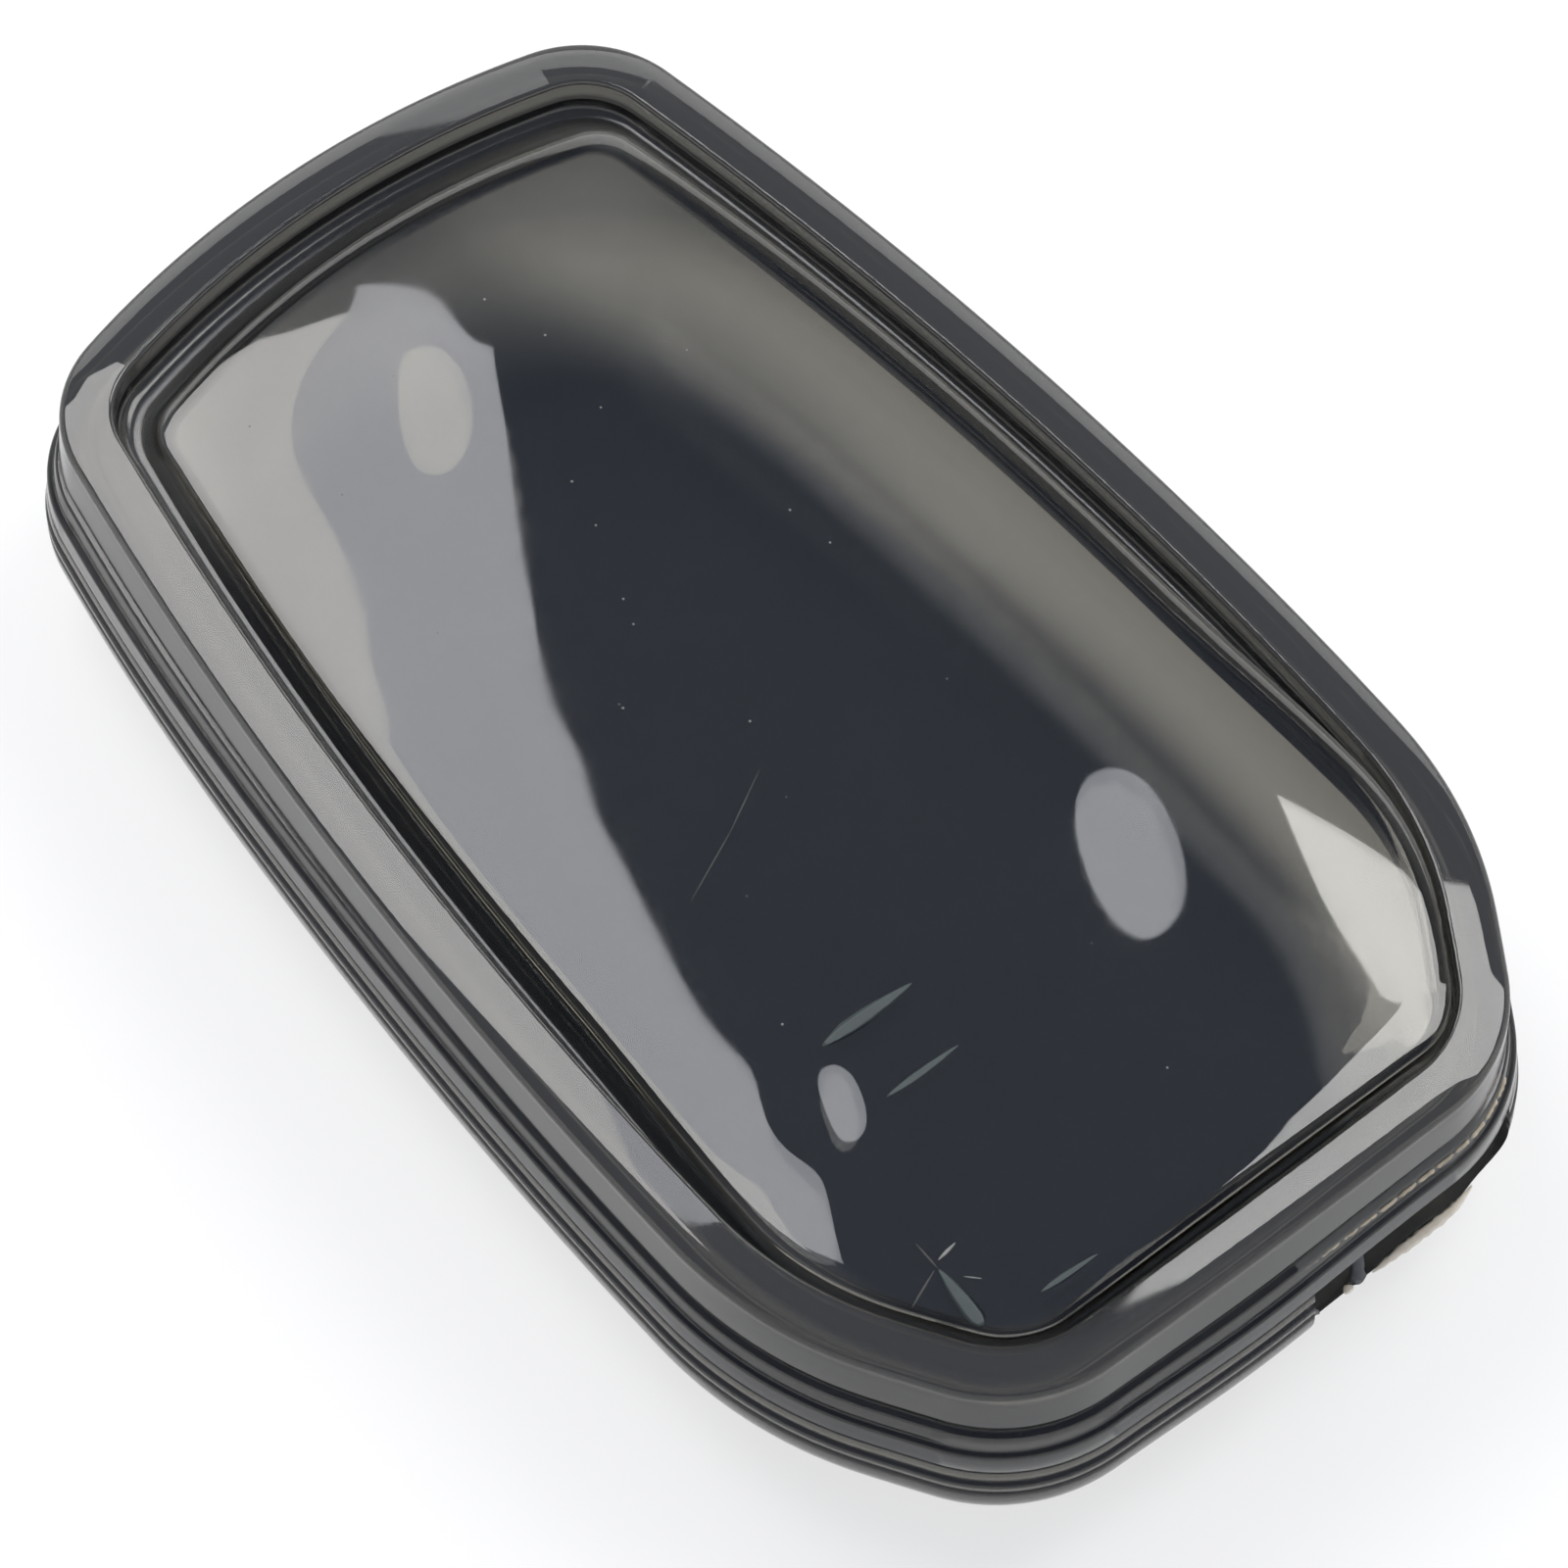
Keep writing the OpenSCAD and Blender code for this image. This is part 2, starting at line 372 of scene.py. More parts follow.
def linked(name, mesh):
    """A new object of a mesh, in the scene."""
    obj = bpy.data.objects.new(name, mesh)
    bpy.context.scene.collection.objects.link(obj)
    return obj


def swept(name, rings, centre_first, centre_last):
    """Closed mesh through rings, closed by a fan to a point at each end."""
    n = len(rings[0])
    m = len(rings)
    pts = np.vstack(rings + [centre_first, centre_last]) * MM
    faces = []
    for j in range(m - 1):
        for i in range(n):
            k = (i + 1) % n
            faces.append((j * n + i, j * n + k, (j + 1) * n + k, (j + 1) * n + i))
    first, last = m * n, m * n + 1
    for i in range(n):
        k = (i + 1) % n
        faces.append((first, k, i))
        faces.append((last, (m - 1) * n + i, (m - 1) * n + k))
    mesh = bpy.data.meshes.new(name)
    mesh.from_pydata([tuple(p) for p in pts], [], faces)
    mesh.validate()
    mesh.update()
    return linked(name, mesh)


def outward(obj):
    """Faces of a closed mesh turned to point out."""
    bm = bmesh.new()
    bm.from_mesh(obj.data)
    bmesh.ops.recalc_face_normals(bm, faces=bm.faces)
    bm.to_mesh(obj.data)
    bm.free()


def smooth(obj, sharp=45):
    """Smooth shading, with edges kept sharp above an angle in degrees."""
    obj.data.polygons.foreach_set("use_smooth", [True] * len(obj.data.polygons))
    obj.data.set_sharp_from_angle(angle=math.radians(sharp))
    weighted = obj.modifiers.new("even_normals", "WEIGHTED_NORMAL")
    weighted.keep_sharp = True
    weighted.weight = 60


# The front shell

# Rings of the face, as shares of its size, and of its margin, as distances inside its edge
FACE_SHARES = [0.015] + [round(0.04 + 0.015 * i, 4) for i in range(64)]
MARGIN_STEPS = [0.7, 0.6, 0.5, 0.4, MARGIN_EDGE]


def make_front():
    """Face, gutter, rim, ribbed side and the inside of the front shell, in one closed mesh."""
    face = [face_ring(share, 0) for share in FACE_SHARES]
    margin = [margin_ring(inside, 0) for inside in MARGIN_STEPS[:-1]]
    bevel_z = RIM_TOP - RIM_LEAN * (RIM_WALL_IN - RIM_BEVEL_IN)
    rest = rounded([
        (margin_ring(MARGIN_EDGE, 0), 0, 0),
        (margin_ring(0, 0), EDGE_ROUND, 6),
        (gutter_foot(GUTTER_Z), GUTTER_ROUND, 9),
        (ring(GUTTER_Z, RIM_WALL_IN + RIM_WALL_LEAN, RIM_SHIFT), GUTTER_ROUND, 9),
        (ring(RIM_TOP, RIM_WALL_IN, RIM_SHIFT), EDGE_ROUND, 6),
        (ring(bevel_z, RIM_BEVEL_IN), BEVEL_ROUND, 5),
        (ring(bevel_z - RIM_BEVEL_DROP, RIM_SIDE_IN + RIM_BEVEL_FOOT), RIM_ROUND, 7),
        (ring(RIM_SIDE_LOW, RIM_SIDE_IN), SEAM_ROUND, 2),
        (ring(GROOVE_HIGH, GROOVE_IN), GROOVE_ROUND, 2),
        (ring(GROOVE_LOW, GROOVE_IN), GROOVE_ROUND, 2),
        (ring(RIB_Z, RIB_IN), RIB_ROUND, 4),
        (ring(RIB_LOW_Z, RIB_LOW_IN), GROOVE_ROUND, 2),
        (ring(STEP_Z, STEP_IN), STEP_ROUND, 4),
        (ring(FRONT_SEAM_Z, SEAM_IN), SEAM_ROUND, 2),
        (ring(FRONT_SEAM_Z, SEAT_IN), SEAM_ROUND, 2),
        (ring(SEAT_Z, SEAT_IN), SEAM_ROUND, 2),
        (ring(SEAT_Z, INNER_IN), SEAM_ROUND, 2),
        (ring(UNDER_GUTTER_Z - UNDER_EDGE, INNER_IN), UNDER_EDGE_ROUND, 4),
        (ring(UNDER_GUTTER_Z, INNER_IN + UNDER_EDGE), UNDER_EDGE_ROUND, 4),
        (gutter_foot(UNDER_GUTTER_Z, UNDER_GUTTER_MORE), UNDER_FACE_ROUND, 5),
        (margin_ring(0, FACE_T, UNDER_FACE_MORE), UNDER_FACE_ROUND, 5),
        (margin_ring(MARGIN, FACE_T), 0, 0),
    ])
    under = [face_ring(share, FACE_T) for share in FACE_SHARES[::-3]]
    top = face_z(np.array([0.0]), np.array([FACE_SHIFT]))[0]
    rings = warped(face + margin + rest + under[1:])
    obj = swept("front_cover", rings, (0, FACE_SHIFT, top), (0, FACE_SHIFT, top - FACE_T))
    outward(obj)
    smooth(obj)
    return obj


# The back shell

FLOOR_SHARES = [0.05, 0.3, 0.55, 0.75, 0.9, 0.97]


def bowl(bottom_z, bottom_in, wall_z, wall_in, steps):
    """Rings of a quarter-round bowl, from the edge of its bottom up to the wall."""
    out = []
    for i in range(steps + 1):
        t = math.radians(90 - 90 * i / steps)
        more = (bottom_in - wall_in) * (1 - math.cos(t))
        out.append(drawn_in(wall_z - (wall_z - bottom_z) * math.sin(t), wall_in + more / 2, more / 2))
    return out


def flat(z, edge, shares):
    """Rings of a level floor inside an edge ring."""
    out = []
    for s in shares:
        r = edge * s
        r[:, 2] = z
        out.append(r)
    return out


def make_back():
    """Bottom, bowl, grooved side, tongue and inside of the back shell, in one closed mesh with its slot."""
    outer_bowl = bowl(0, BOWL_IN, BOWL_H, 0, 22)
    inner_bowl = bowl(FLOOR_T, BOWL_IN + FLOOR_SET_IN, BOWL_H, INNER_IN, 18)
    side = rounded([
        (outer_bowl[-1], 0, 0),
        (ring(LOW_GROOVE_Z[0], 0), BACK_EDGE_ROUND, 2),
        (ring(LOW_GROOVE_Z[1], LOW_GROOVE_IN), LOW_GROOVE_ROUND, 2),
        (ring(LOW_GROOVE_Z[2], LOW_GROOVE_IN), LOW_GROOVE_ROUND, 2),
        (ring(LOW_GROOVE_Z[3], 0), BACK_EDGE_ROUND, 3),
        (ring(BACK_GROOVE_Z[0], 0), TONGUE_ROUND, 3),
        (ring(BACK_GROOVE_Z[1], BACK_GROOVE_IN), GROOVE_ROUND, 2),
        (ring(BACK_GROOVE_Z[2], BACK_GROOVE_IN), GROOVE_ROUND, 2),
        (ring(BACK_GROOVE_Z[3], LIP_IN), BACK_EDGE_ROUND, 3),
        (ring(SEAM_Z, SEAM_IN), BACK_EDGE_ROUND, 3),
        (ring(SEAM_Z, TONGUE_IN), SEAM_ROUND, 2),
        (ring(SEAM_Z + TONGUE_H, TONGUE_IN), TONGUE_ROUND, 2),
        (ring(SEAM_Z + TONGUE_H, INNER_IN), TONGUE_ROUND, 2),
        (inner_bowl[-1], 0, 0),
    ])
    bottom = flat(0, outer_bowl[0], FLOOR_SHARES)
    floor = flat(FLOOR_T, inner_bowl[0], FLOOR_SHARES[::-1])
    rings = bottom + outer_bowl[:-1] + side + inner_bowl[-2::-1] + floor
    obj = swept("back_cover", warped(rings), (0, 0, 0), (0, 0, FLOOR_T))
    outward(obj)
    cut_slot(obj)
    smooth(obj)
    return obj


def quarter(cx, cz, radius, start):
    """Points of a quarter circle, from a heading in degrees."""
    steps = 8
    turns = [math.radians(start + 90 * i / steps) for i in range(steps + 1)]
    return [(cx + radius * math.cos(a), cz + radius * math.sin(a)) for a in turns]


def cut_slot(obj):
    """Cuts the ring slot, with rounded lower corners, through wall and tongue."""
    y0, y1 = -COVER_LEN / 2 - CUT_PAST, -COVER_LEN / 2 + SLOT_DEEP
    x0, x1 = SLOT_START, SLOT_START + SLOT_LEN
    z0, z1 = SLOT_LOW, SEAM_Z + TONGUE_H + CUT_PAST
    r, far_r = SLOT_ROUND, SLOT_ROUND_END
    loop = [(x1, z1), (x0, z1)]
    loop += quarter(x0 + r, z0 + r, r, 180)
    loop += quarter(x1 - far_r, z0 + far_r, far_r, 270)
    n = len(loop)
    pts = [(x * MM, y * MM, z * MM) for y in (y0, y1) for x, z in loop]
    faces = [tuple(range(n)), tuple(range(2 * n - 1, n - 1, -1))]
    faces += [((i + 1) % n, i, n + i, n + (i + 1) % n) for i in range(n)]
    mesh = bpy.data.meshes.new("slot_cutter")
    mesh.from_pydata(pts, [], faces)
    cutter = linked("slot_cutter", mesh)
    outward(cutter)
    cut = obj.modifiers.new("slot", "BOOLEAN")
    cut.operation, cut.solver, cut.object = "DIFFERENCE", "EXACT", cutter
    graph = bpy.context.evaluated_depsgraph_get()
    done = bpy.data.meshes.new_from_object(obj.evaluated_get(graph))
    obj.modifiers.clear()
    obj.data = done
    bpy.data.objects.remove(cutter)


# Flash that the mould left, marks on the face, and painted reflections and highlights

FLASH = np.random.RandomState(5)

# Dashes of flash along the groove of the front shell
FLASH_START = 1.2
FLASH_END = 15.4
FLASH_Z = 10.62
FLASH_IN = 0.68
FLASH_HALF_WID = 0.115
FLASH_TIP = 0.05


def bead(points, wide, high, ragged):
    """Vertices and faces of a thin bead along points, as wide and as high at each point as is given."""
    verts, faces = [], []
    sides = 6
    along = np.gradient(points, axis=0)
    for p, t, w, h in zip(points, along, wide, high):
        out = np.cross(t / np.linalg.norm(t), (0, 0, 1.0))
        out /= np.linalg.norm(out)
        for k in range(sides):
            a = 2 * math.pi * k / sides
            grow = 1 + ragged * FLASH.uniform(-1, 1)
            verts.append(p + grow * (w * math.cos(a) * out + h * math.sin(a) * np.array([0, 0, 1.0])))
    for i in range(len(points) - 1):
        for k in range(sides):
            n = (k + 1) % sides
            faces.append((i * sides + k, i * sides + n, (i + 1) * sides + n, (i + 1) * sides + k))
    faces.append(tuple(range(sides - 1, -1, -1)))
    last = (len(points) - 1) * sides
    faces.append(tuple(last + k for k in range(sides)))
    return verts, faces


def beads(name, parts):
    """One object of several beads."""
    verts, faces = [], []
    for v, f in parts:
        start = len(verts)
        verts.extend(v)
        faces.extend(tuple(start + i for i in loop) for loop in f)
    mesh = bpy.data.meshes.new(name)
    mesh.from_pydata([tuple(c * MM for c in v) for v in verts], [], faces)
    obj = linked(name, mesh)
    outward(obj)
    obj.data.polygons.foreach_set("use_smooth", [True] * len(obj.data.polygons))
    return obj


def along_ring(z, inset, x0, x1, count):
    """Points on the ring end's outline between two places across it."""
    ring_end_y = -20
    r = ring(z, inset)
    end = r[r[:, 1] < ring_end_y]
    end = end[np.argsort(end[:, 0])]
    xs = np.linspace(x0, x1, count)
    return np.column_stack([xs, np.interp(xs, end[:, 0], end[:, 1]), np.full(count, z)])


def make_groove_flash():
    """Ragged cream dashes along the groove of the ring end."""
    count = 9
    parts = []
    x = FLASH_START
    while x < FLASH_END:
        length = FLASH.uniform(0.8, 1.3)
        size = np.full(count, FLASH_HALF_WID)
        size[0] = size[-1] = FLASH_TIP
        parts.append(bead(along_ring(FLASH_Z, FLASH_IN, x, x + length, count), size, 0.9 * size, 0.35))
        x += length + FLASH.uniform(0.05, 0.2)
    return beads("groove_flash", parts)


def make_slot_lip():
    """Pale lip on the sill of the slot, and a crumb beside it: a painted highlight of the sill's lit edge.
    """
    inset = 0.80
    lip_start, lip_end, lip_sunk = 6.3, 13.2, 0.05
    lip_half_wid, lip_half_h = 0.27, 0.12
    crumb_start, crumb_end, crumb_up = 4.45, 5.0, 0.1
    crumb_half_wid = [0.1, 0.2, 0.24, 0.18, 0.08]
    crumb_half_h = [0.1, 0.2, 0.22, 0.16, 0.08]
    count = 36
    swell = np.sin(np.linspace(0.05, math.pi - 0.05, count)) ** 0.6
    lip_line = along_ring(SLOT_LOW - lip_sunk, inset, lip_start, lip_end, count)
    lip = bead(lip_line, lip_half_wid * swell, lip_half_h * swell, 0.2)
    crumb_line = along_ring(SLOT_LOW + crumb_up, inset, crumb_start, crumb_end, len(crumb_half_wid))
    crumb = bead(crumb_line, crumb_half_wid, crumb_half_h, 0.3)
    return beads("slot_lip", [lip, crumb])


def strand(start, end, first_size, last_size):
    """A ragged strand of plastic between two points, with its half width and half height at each end."""
    count = 9
    wide = np.linspace(first_size[0], last_size[0], count)
    high = np.linspace(first_size[1], last_size[1], count)
    return bead(np.linspace(start, end, count), wide, high, 0.3)


def make_slot_web():
    """Torn web of plastic that crosses the slot near its left end, and a rag in its corner."""
    across = strand((6.1, -38.0, 6.0), (5.3, -39.1, 3.45), (0.18, 0.2), (0.42, 0.35))
    corner = strand((1.4, -39.4, 6.3), (2.7, -39.0, 3.5), (0.2, 0.25), (0.35, 0.3))
    return beads("slot_web", [across, corner])


def on_face(x0, y0, x1, y1, count):
    """Points on the face from one place to another."""
    x, y = np.linspace(x0, x1, count), np.linspace(y0, y1, count)
    return np.column_stack([x, y, face_z(x, y)])


MARK_HALF_H = 0.012
MARK_LEAST = 0.01


def face_mark(x0, y0, x1, y1, half_wid, fullest):
    """A flat mark on the face from one place to another, widest at a share of its length."""
    count = 17
    t = np.linspace(0.02, 0.98, count)
    opening = np.sin(0.5 * math.pi * t / fullest)
    closing = np.sin(0.5 * math.pi * (1 - t) / (1 - fullest))
    shape = np.where(t < fullest, opening, closing)
    wide = half_wid * shape ** 0.8 + MARK_LEAST
    return bead(on_face(x0, y0, x1, y1, count), wide, np.full(count, MARK_HALF_H), 0.04)


# Marks on the face: start x and y, end x and y, half width, share of the length where it is widest
# Slivers are painted reflections: greenish strips for dim reflections of the softbox from the surfaces under
# the face
PAINTED_REFLECTION_SLIVERS = [
    (-11.0, -17.8, -5.5, -17.8, 0.42, 0.36),
    (-10.4, -21.9, -5.9, -21.8, 0.22, 0.40),
    (-11.2, -34.3, -7.9, -34.5, 0.18, 0.40),
    (-14.2, -30.4, -14.4, -33.9, 0.45, 0.80),
]
SCRATCHES = [
    (-14.2, -28.7, -14.2, -30.3, 0.05, 0.5),
    (-14.4, -30.3, -16.4, -31.1, 0.06, 0.6),
    (-3.9, -4.2, -7.2, -6.0, 0.028, 0.6),
    (-7.1, -5.95, -11.0, -7.7, 0.028, 0.4),
]
# Glints are painted highlights: pale marks beside the scratches
PAINTED_GLINTS = [
    (-13.9, -30.0, -12.7, -29.8, 0.09, 0.5),
    (-13.5, -31.4, -12.9, -32.0, 0.03, 0.5),
]
SPECKS = 26


def marks(name, places):
    """One object of several marks on the face."""
    return beads(name, [face_mark(*place) for place in places])


def make_specks_and_painted_glints():
    """Two small painted glints beside the scratches, pale marks standing for highlights, and specks of dust
    over the face.
    """
    parts = [face_mark(*place) for place in PAINTED_GLINTS]
    for _ in range(SPECKS):
        x, y = FLASH.uniform(-14, 14), FLASH.uniform(-33, 28)
        size = FLASH.uniform(0.03, 0.07)
        parts.append(face_mark(x, y, x + 2 * size, y + FLASH.uniform(-1, 1) * size, size, 0.5))
    return beads("face_specks_and_painted_glints", parts)


# Materials

# Smoke-black plastic: a nearly clear skin that gets its colour from the depth of plastic behind it
CLEAR_TINT = (0.985, 0.985, 0.98)
SIDE_TINT = (0.24, 0.25, 0.27)
# Painted shade: the dark tint of the back's middle stands for the table's shadow under the cover
PAINTED_SHADE_TINT = (0.07, 0.085, 0.11)
SMOKE_COLOUR = (0.20, 0.175, 0.10, 1)
SMOKE_DENSITY = 520.0
PLASTIC_IOR = 1.5
RIM_MILK = 0.034

# Roughness that the haze adds everywhere, and that the dull sides add below a height, in millimetres
HAZE_SCALE = 220.0
HAZE_ROUGHNESS = 0.06
SIDE_ROUGHNESS = 0.13
SIDE_TOP = 14.2
SIDE_FADE = 0.5

# Sizes at which the painted shade of the back's middle and the clear face start to fade and have faded, as
# shares of their ovals.
# The second has a value towards the ring end and one towards the wide end, and goes from the one to the
# other between two places along the cover.
MIDDLE_FULL_SHARE = 0.92
MIDDLE_GONE_SHARES = (1.10, 1.45)
FACE_FULL_SHARE = 1.0
FACE_GONE_SHARES = (1.06, 1.06)
OVAL_POWER = 5.0
CHANGE_START = 5
CHANGE_END = 30


def node(tree, kind, **values):
    """A new node, with values for its sockets or its settings."""
    made = tree.nodes.new(kind)
    for key, value in values.items():
        if key in made.inputs:
            made.inputs[key].default_value = value
        else:
            setattr(made, key, value)
    return made


def number(tree, operation, a, b=None):
    """A math node's output from sockets or plain numbers."""
    made = node(tree, "ShaderNodeMath", operation=operation)
    for i, value in enumerate((a, b)):
        if value is None:
            continue
        if isinstance(value, (int, float)):
            made.inputs[i].default_value = value
        else:
            tree.links.new(value, made.inputs[i])
    return made.outputs[0]


def inside_oval(tree, place, half_wid, half_len, middle_y, bow_r, full, gone):
    """1 inside a bowed oval about the middle, 0 outside it, with a fade between two of its sizes."""
    split = node(tree, "ShaderNodeSeparateXYZ")
    tree.links.new(place, split.inputs[0])
    from_widest = number(tree, "ADD", split.outputs["Y"], WIDEST_BACK * MM)
    bow = number(tree, "MULTIPLY", number(tree, "MULTIPLY", from_widest, from_widest), 0.5 / (bow_r * MM))
    half = number(tree, "SUBTRACT", half_wid * MM, bow)
    width = number(tree, "DIVIDE", number(tree, "ABSOLUTE", split.outputs["X"]), half)
    across = number(tree, "POWER", width, OVAL_POWER)
    from_middle = number(tree, "ABSOLUTE", number(tree, "SUBTRACT", split.outputs["Y"], middle_y * MM))
    length = number(tree, "DIVIDE", from_middle, half_len * MM)
    along = number(tree, "POWER", length, OVAL_POWER)
    radius = number(tree, "POWER", number(tree, "ADD", across, along), 1 / OVAL_POWER)
    towards_wide_end = node(tree, "ShaderNodeMapRange", interpolation_type="SMOOTHSTEP")
    towards_wide_end.inputs["From Min"].default_value = CHANGE_START * MM
    towards_wide_end.inputs["From Max"].default_value = CHANGE_END * MM
    towards_wide_end.inputs["To Min"].default_value = gone[0]
    towards_wide_end.inputs["To Max"].default_value = gone[1]
    tree.links.new(split.outputs["Y"], towards_wide_end.inputs["Value"])
    fade = node(tree, "ShaderNodeMapRange", interpolation_type="SMOOTHSTEP")
    tree.links.new(towards_wide_end.outputs["Result"], fade.inputs["From Min"])
    fade.inputs["From Max"].default_value = full
    tree.links.new(radius, fade.inputs["Value"])
    return fade.outputs["Result"]


def below(tree, place, top, fade):
    """1 where a place lies lower than a height, fading to 0 over a distance above it."""
    split = node(tree, "ShaderNodeSeparateXYZ")
    tree.links.new(place, split.inputs[0])
    made = node(tree, "ShaderNodeMapRange", interpolation_type="SMOOTHSTEP")
    made.inputs["From Min"].default_value = (top + fade) * MM
    made.inputs["From Max"].default_value = top * MM
    tree.links.new(split.outputs["Z"], made.inputs["Value"])
    return made.outputs["Result"]


def blend(tree, share, first, second):
    """Colour that goes from the first to the second with a share."""
    made = node(tree, "ShaderNodeMix", data_type="RGBA")
    for name, value in (("A", first), ("B", second)):
        socket = next(i for i in made.inputs if i.name == name and i.type == "RGBA")
        if hasattr(value, "links"):
            tree.links.new(value, socket)
        else:
            socket.default_value = (*value, 1)
    factor = next(i for i in made.inputs if i.name == "Factor" and i.type == "VALUE")
    tree.links.new(share, factor)
    return next(o for o in made.outputs if o.type == "RGBA")


def empty_material(name):
    """A new material with no nodes."""
    material = bpy.data.materials.new(name)
    material.use_nodes = True
    material.node_tree.nodes.clear()
    return material


def smoke_plastic(name, painted_shade_middle):
    """Glossy smoke-black see-through plastic; the flat middle of the back can carry painted shade, a dark
    tint for the table's shadow under the cover.
    """
    material = empty_material(name)
    tree = material.node_tree
    link = tree.links.new
    out = node(tree, "ShaderNodeOutputMaterial")
    skin = node(tree, "ShaderNodeBsdfPrincipled")
    skin.inputs["IOR"].default_value = PLASTIC_IOR
    place = node(tree, "ShaderNodeTexCoord").outputs["Object"]
    haze = node(tree, "ShaderNodeTexNoise")
    haze.inputs["Scale"].default_value = HAZE_SCALE
    haze.inputs["Detail"].default_value = 4.0
    link(place, haze.inputs["Vector"])
    side = below(tree, place, SIDE_TOP, SIDE_FADE)
    gloss = number(tree, "MULTIPLY", haze.outputs["Fac"], HAZE_ROUGHNESS)
    dull = number(tree, "MULTIPLY", side, SIDE_ROUGHNESS)
    link(number(tree, "ADD", gloss, dull), skin.inputs["Roughness"])
    # Painted shade: the back's flat middle is tinted dark for the table's shadow under the cover
    if painted_shade_middle:
        middle = inside_oval(
            tree, place, MIDDLE_HALF_WID, MIDDLE_HALF_LEN, MIDDLE_Y, MIDDLE_BOW_R,
            MIDDLE_FULL_SHARE, MIDDLE_GONE_SHARES,
        )
        colour = blend(tree, middle, CLEAR_TINT, PAINTED_SHADE_TINT)
    else:
        colour = blend(tree, side, CLEAR_TINT, SIDE_TINT)
    link(colour, skin.inputs["Base Color"])
    face = inside_oval(
        tree, place, FACE_HALF_WID, FACE_HALF_LEN, FACE_Y, SIDE_BOW_R,
        FACE_FULL_SHARE, FACE_GONE_SHARES,
    )
    milk = node(tree, "ShaderNodeMapRange")
    milk.inputs["To Min"].default_value = 1 - RIM_MILK
    milk.inputs["To Max"].default_value = 1.0
    link(face, milk.inputs["Value"])
    link(milk.outputs["Result"], skin.inputs["Transmission Weight"])
    inside = node(tree, "ShaderNodeVolumeAbsorption")
    inside.inputs["Color"].default_value = SMOKE_COLOUR
    inside.inputs["Density"].default_value = SMOKE_DENSITY
    link(skin.outputs["BSDF"], out.inputs["Surface"])
    link(inside.outputs["Volume"], out.inputs["Volume"])
    return material


def dull_plastic(name, dark, light):
    """Dull plastic, mottled between two colours, as torn flash, dust and scuffs are; it also colours the
    painted reflections and highlights on the face and on the slot's sill.
    """
    material = empty_material(name)
    tree = material.node_tree
    link = tree.links.new
    out = node(tree, "ShaderNodeOutputMaterial")
    skin = node(tree, "ShaderNodeBsdfPrincipled")
    place = node(tree, "ShaderNodeTexCoord")
    grain = node(tree, "ShaderNodeTexNoise")
    grain.inputs["Scale"].default_value = 1800.0
    link(place.outputs["Object"], grain.inputs["Vector"])
    link(blend(tree, grain.outputs["Fac"], dark, light), skin.inputs["Base Color"])
    skin.inputs["Roughness"].default_value = 0.5
    link(skin.outputs["BSDF"], out.inputs["Surface"])
    return material


# The pieces

front = make_front()
front.data.materials.append(smoke_plastic("smoke_front_plastic", False))
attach(front, "front")
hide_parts("front_shell")

# Each small piece, the body that carries it, its material and the two colours of that
SMALL_PIECES = [
    (make_groove_flash(), "front", "flash_cream", (0.24, 0.20, 0.14), (0.66, 0.58, 0.45)),
    # The slot's lip is pale as a painted highlight of the sill's lit edge
    (make_slot_lip(), "back", "slot_sill_painted_highlight", (0.62, 0.55, 0.43), (0.95, 0.90, 0.80)),
    (make_slot_web(), "back", "web_grey", (0.025, 0.03, 0.04), (0.10, 0.105, 0.12)),
    # Painted reflections of the softbox, as greenish slivers on the face
    (marks("face_painted_reflections", PAINTED_REFLECTION_SLIVERS), "front", "painted_reflection_green", (0.016, 0.026, 0.027), (0.030, 0.044, 0.045)),
    (marks("face_scratches", SCRATCHES), "front", "scratch_grey", (0.01, 0.01, 0.01), (0.04, 0.038, 0.036)),
    # Specks of dust, with two painted glints among them as pale highlights
    (make_specks_and_painted_glints(), "front", "speck_and_painted_glint_pale", (0.06, 0.06, 0.055), (0.28, 0.28, 0.27)),
]
for piece, body, name, dark, light in SMALL_PIECES:
    piece.data.materials.append(dull_plastic(name, dark, light))
    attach(piece, body)

back = make_back()
back.data.materials.append(smoke_plastic("smoke_back_plastic_painted_shade", True))
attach(back, "back")
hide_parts("back_shell")


# Floor, light and camera, in metres

AHEAD = Vector((0.6292, 0.7772, 0))
ASIDE = Vector((0.7772, -0.6292, 0))

FLOOR_HALF = 1.6
FLOOR_Z = -0.00004
FLOOR_GLOW_SHARE = 0.68

LAMP_H = 0.60

# The tent is bright up to one height of the view and dark above another, as shares of straight up
TENT_BRIGHT_SHARE = 0.35
TENT_DARK_SHARE = 0.62
TENT_DARK = (0.165, 0.195, 0.28, 1)


def white_floor():
    """White table that glows where it is seen directly, mirrored or through the plastic."""
    mesh = bpy.data.meshes.new("floor")
    half, z = FLOOR_HALF, FLOOR_Z
    corners = [(-half, -half, z), (half, -half, z), (half, half, z), (-half, half, z)]
    mesh.from_pydata(corners, [], [(0, 1, 2, 3)])
    floor = linked("floor", mesh)
    material = empty_material("white_table")
    tree = material.node_tree
    link = tree.links.new
    out = node(tree, "ShaderNodeOutputMaterial")
    lit = node(tree, "ShaderNodeBsdfDiffuse")
    lit.inputs["Color"].default_value = (0.9, 0.9, 0.9, 1)
    glow = node(tree, "ShaderNodeEmission")
    glow.inputs["Strength"].default_value = 1.0
    path = node(tree, "ShaderNodeLightPath")
    seen = number(tree, "MAXIMUM", path.outputs["Is Camera Ray"], path.outputs["Is Glossy Ray"])
    seen_any = number(tree, "MAXIMUM", seen, path.outputs["Is Transmission Ray"])
    mix = node(tree, "ShaderNodeMixShader")
    link(number(tree, "MULTIPLY", seen_any, FLOOR_GLOW_SHARE), mix.inputs["Fac"])
    link(lit.outputs[0], mix.inputs[1])
    link(glow.outputs[0], mix.inputs[2])
    link(mix.outputs[0], out.inputs["Surface"])
    mesh.materials.append(material)


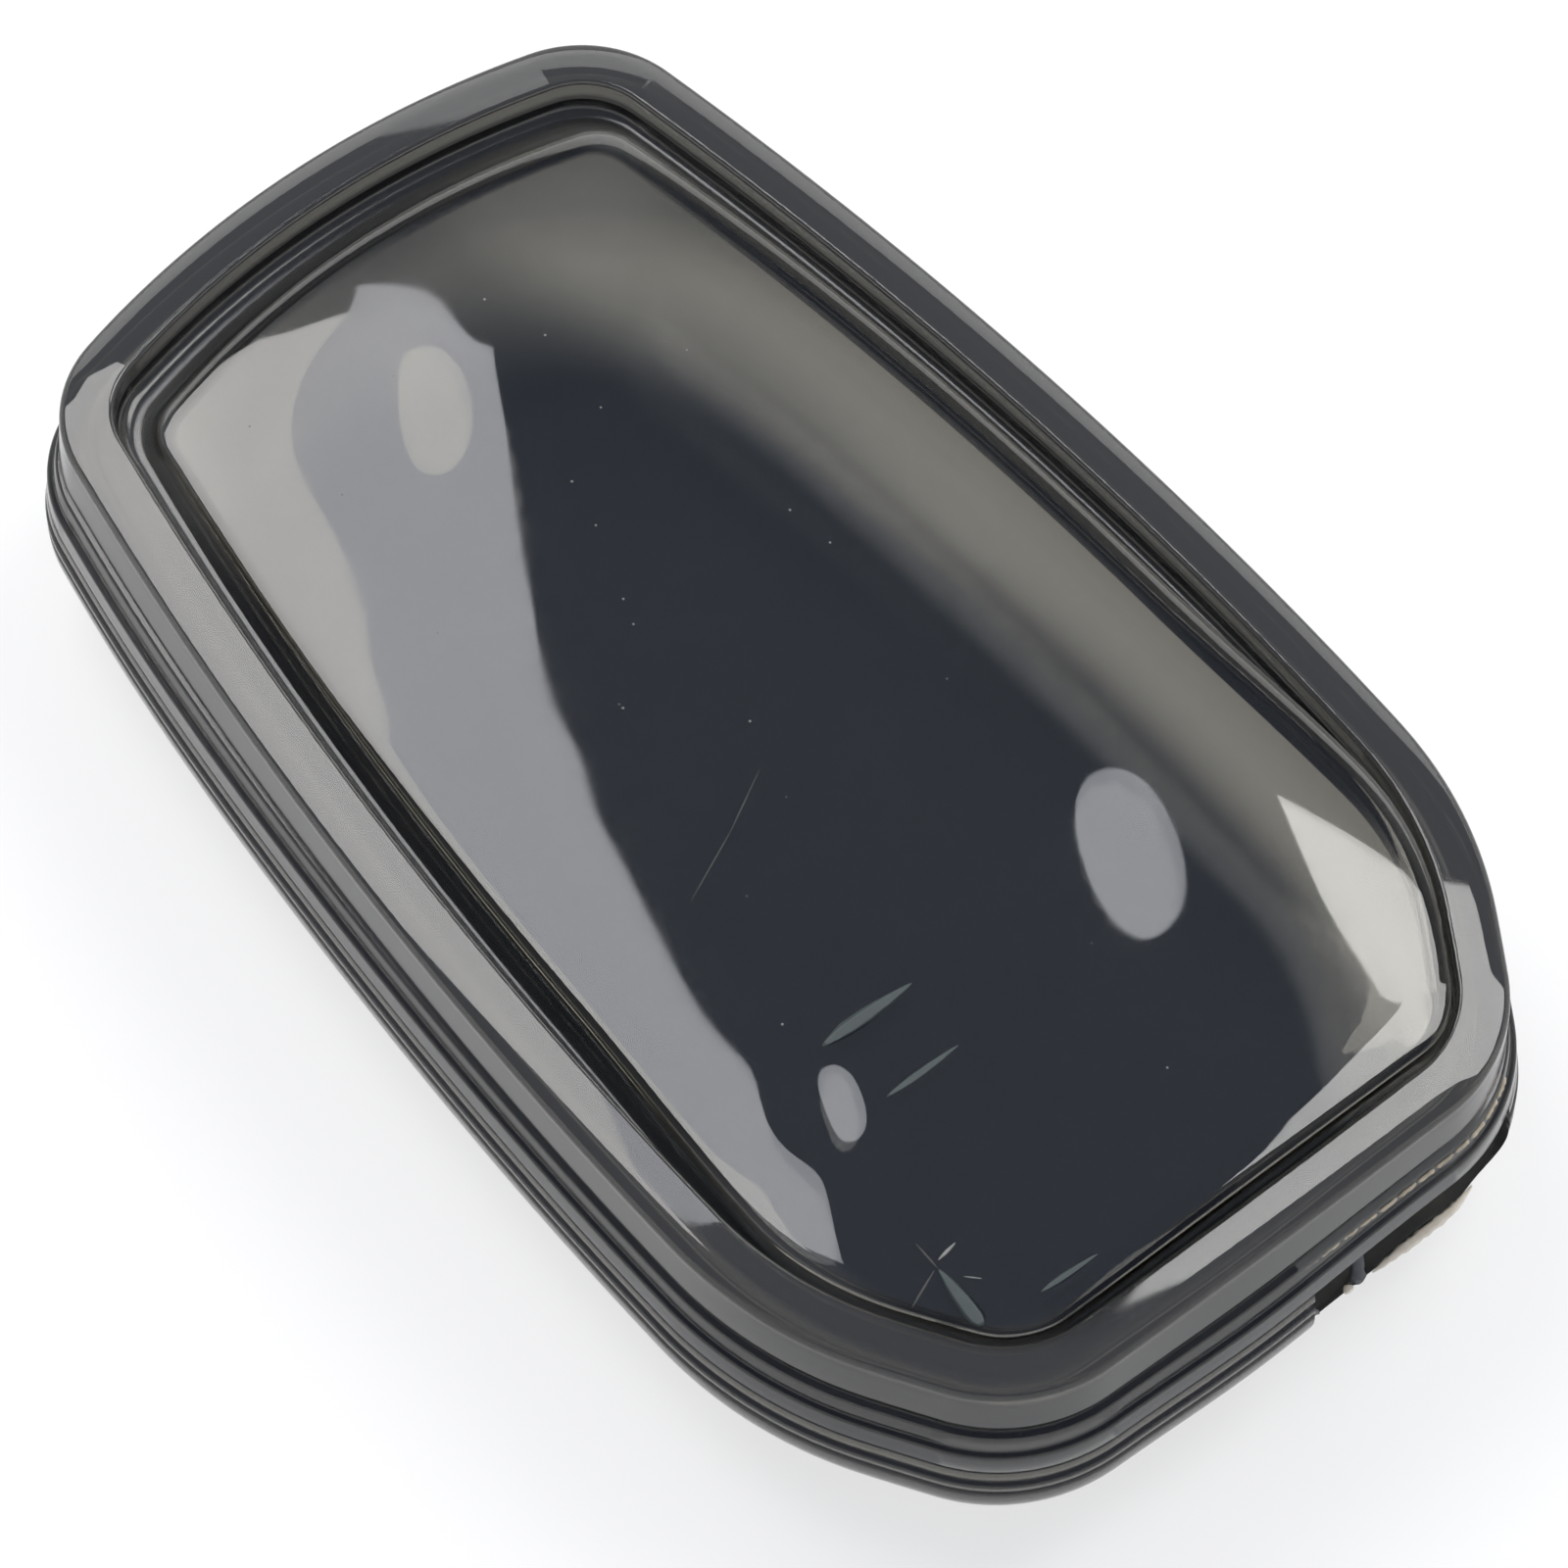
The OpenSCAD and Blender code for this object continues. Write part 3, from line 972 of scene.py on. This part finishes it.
def softbox(name, aside, ahead, radiance, colour):
    """A level lamp that faces down, given by its extent to the camera's right and ahead of it."""
    lamp = bpy.data.lights.new(name, "AREA")
    lamp.shape = "RECTANGLE"
    lamp.color = colour
    lamp.size, lamp.size_y = aside[1] - aside[0], ahead[1] - ahead[0]
    lamp.energy = radiance * math.pi * lamp.size * lamp.size_y
    obj = linked(name, lamp)
    middle = ASIDE * sum(aside) / 2 + AHEAD * sum(ahead) / 2 + Vector((0, 0, LAMP_H))
    turn = Matrix((ASIDE, AHEAD, Vector((0, 0, 1)))).transposed()
    obj.matrix_world = Matrix.Translation(middle) @ turn.to_4x4()


def sky():
    """Bright all round at the height of a light tent's walls and dark above."""
    world = bpy.data.worlds.new("tent")
    bpy.context.scene.world = world
    world.use_nodes = True
    tree = world.node_tree
    tree.nodes.clear()
    link = tree.links.new
    out = node(tree, "ShaderNodeOutputWorld")
    tent = node(tree, "ShaderNodeBackground")
    place = node(tree, "ShaderNodeTexCoord")
    split = node(tree, "ShaderNodeSeparateXYZ")
    ramp = node(tree, "ShaderNodeValToRGB")
    stops = ramp.color_ramp.elements
    stops[0].position, stops[0].color = TENT_BRIGHT_SHARE, (1, 1, 1, 1)
    stops[1].position, stops[1].color = TENT_DARK_SHARE, TENT_DARK
    link(place.outputs["Generated"], split.inputs[0])
    link(split.outputs["Z"], ramp.inputs["Fac"])
    link(ramp.outputs["Color"], tent.inputs["Color"])
    link(tent.outputs[0], out.inputs["Surface"])


def photo_camera():
    """The camera at the photo's angle."""
    camera = bpy.data.cameras.new("camera")
    camera.lens, camera.sensor_width, camera.sensor_fit = 184.16, 36.0, "HORIZONTAL"
    camera.clip_start, camera.clip_end = 0.01, 10
    shot = linked("camera", camera)
    looks = Vector((0.31003, 0.38295, -0.87019)).normalized()
    right = ASIDE.normalized()
    above = right.cross(looks)
    axes = Matrix((right, above, -looks)).transposed()
    shot.matrix_world = Matrix.Translation(Vector((-0.12442, -0.15496, 0.35600))) @ axes.to_4x4()
    bpy.context.scene.camera = shot


white_floor()
sky()
softbox("softbox_left", (-0.15, -0.08), (0.135, 0.535), 5.0, (0.93, 0.94, 1.0))
softbox("softbox_left_bright", (-0.60, -0.15), (0.10, 0.50), 6.8, (1.0, 0.98, 0.96))
softbox("softbox_right", (0.155, 0.60), (0.09, 0.385), 7.8, (1.0, 0.99, 0.97))
softbox("softbox_behind", (-0.80, 0.80), (0.68, 1.30), 2.2, (1.0, 1.0, 0.98))
photo_camera()
bpy.context.scene.view_settings.view_transform = "Standard"
